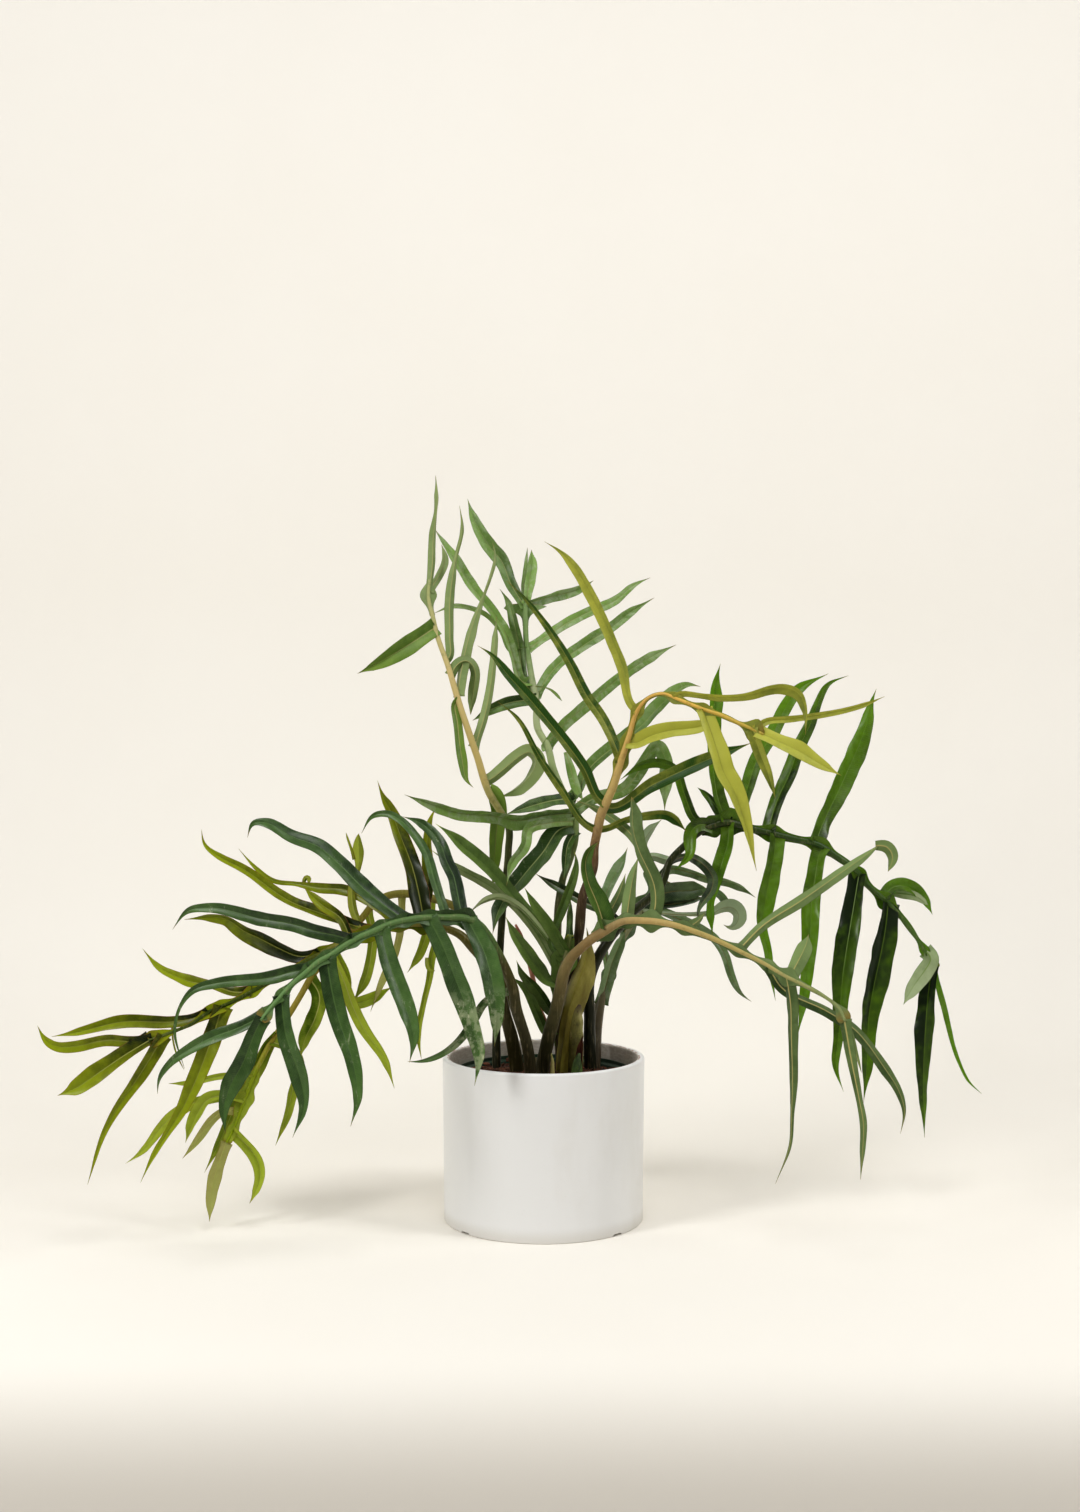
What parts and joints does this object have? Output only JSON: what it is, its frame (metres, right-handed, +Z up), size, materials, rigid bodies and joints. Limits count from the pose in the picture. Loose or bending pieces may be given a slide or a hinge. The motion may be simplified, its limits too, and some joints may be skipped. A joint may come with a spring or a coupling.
{
  "type": "potted fern-leaf philodendron",
  "caption": "House plant with narrow, deeply cut fern-like leaves on arching petioles, in a plastic nursery pot of bark mix inside a white cylindrical planter.",
  "frame": {"origin": "centre of the planter's foot, on the surface it stands on", "axes": "+Z up along the planter's axis, -Y towards the front, +X to the right seen from the front"},
  "size_m": [0.9356, 0.4089, 0.7594],
  "materials": {
    "white_ceramic": "satin",
    "nursery_plastic": "satin",
    "potting_mix": "matte",
    "bark": "matte",
    "leaf_green": "satin",
    "leaf_dark": "satin",
    "leaf_bluish": "satin",
    "leaf_olive": "satin",
    "leaf_yellowing": "satin",
    "leaf_young": "satin",
    "leaf_underside": "matte",
    "old_stem": "matte",
    "sheath_yellow": "matte",
    "sheath_brown": "matte",
    "dry_stalk": "matte"
  },
  "bodies": {
    "root": {"outer_pot": "white_ceramic", "nursery_pot": "nursery_plastic", "potting_mix": "potting_mix", "leaf_upper_left": "leaf_green", "leaf_back_center": "leaf_green", "leaf_center": "leaf_young", "leaf_right": "leaf_dark", "leaf_front_right": "leaf_underside", "leaf_front_left": "leaf_bluish", "leaf_left": "leaf_olive", "leaf_left_low": "leaf_yellowing", "leaf_inner_front": "leaf_green", "leaf_right_back": "leaf_green", "main_stem": "old_stem", "old_stump": "old_stem", "cataphyll_yellow": "sheath_yellow", "cataphyll_brown_left": "sheath_brown", "cataphyll_brown_right": "sheath_brown", "new_spear": "leaf_young", "side_sprout": "leaf_green", "dry_petiole": "dry_stalk", "bark_chip_1": "bark", "bark_chip_2": "bark", "bark_chip_3": "bark", "bark_chip_4": "bark", "bark_chip_5": "bark", "bark_chip_6": "bark", "bark_chip_7": "bark", "bark_chip_8": "bark", "bark_chip_9": "bark", "bark_chip_10": "bark", "bark_chip_11": "bark", "bark_chip_12": "bark"}
  },
  "joints": []
}
